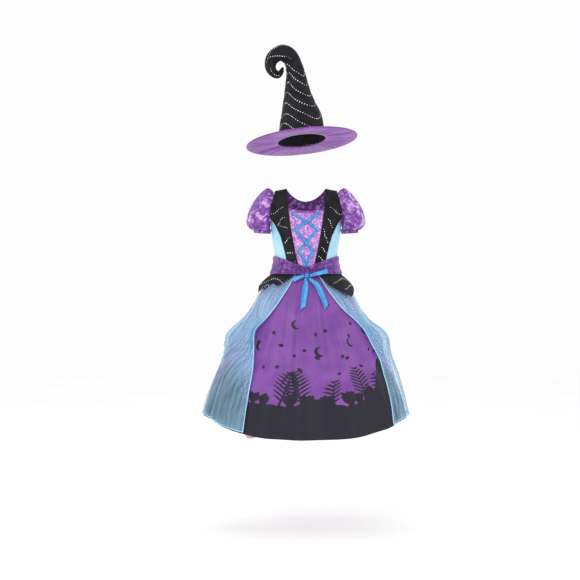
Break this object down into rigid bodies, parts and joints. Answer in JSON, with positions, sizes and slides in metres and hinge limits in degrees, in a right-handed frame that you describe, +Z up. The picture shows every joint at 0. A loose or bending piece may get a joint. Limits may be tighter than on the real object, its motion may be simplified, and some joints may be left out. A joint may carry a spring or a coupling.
{
  "type": "witch costume",
  "caption": "Child's worn witch costume: dress with puff sleeves, lapels, sash, peplum, sheer overskirt and bell skirt, with a brimmed hat whose tip curls.",
  "frame": {"origin": "midway between the shoulder seams, at their height, where the wearer's shoulders carry the dress", "axes": "+Z up, the front faces -Y, +X to the right of someone who looks at the front"},
  "size_m": [0.6646, 0.4606, 1.2492],
  "materials": {
    "velvet_lilac": "crushed velvet",
    "velvet_purple": "crushed velvet",
    "satin_light_blue": "satin",
    "dotted_black": "matt cloth with silver dots",
    "ribbon_blue": "satin ribbon",
    "satin_purple": "printed satin",
    "organza_blue": "sheer organza",
    "lining_pink": "plain lining",
    "brim_purple": "satin over a stiff core"
  },
  "bodies": {
    "root": {"bodice_centre_front": "velvet_lilac", "bodice_back_left": "velvet_purple", "bodice_back_right": "velvet_purple", "neck_binding": "velvet_purple", "sleeve_left": "velvet_purple", "sleeve_right": "velvet_purple", "cuff_left": "velvet_purple", "cuff_right": "velvet_purple", "sash_front": "velvet_purple", "sash_back": "velvet_purple", "bodice_side_left": "satin_light_blue", "bodice_side_right": "satin_light_blue", "lapel_left": "dotted_black", "lapel_right": "dotted_black", "peplum_left": "dotted_black", "peplum_right": "dotted_black", "hat_cone": "dotted_black", "lacing_under": "ribbon_blue", "lacing_over": "ribbon_blue", "bow_knot": "ribbon_blue", "bow_loop_left": "ribbon_blue", "bow_loop_right": "ribbon_blue", "bow_tail_left": "ribbon_blue", "bow_tail_right": "ribbon_blue", "skirt_front": "satin_purple", "skirt_back": "satin_purple", "overskirt_left": "organza_blue", "overskirt_right": "organza_blue", "underskirt_front": "lining_pink", "underskirt_back": "lining_pink", "hat_brim": "brim_purple"}
  },
  "joints": []
}
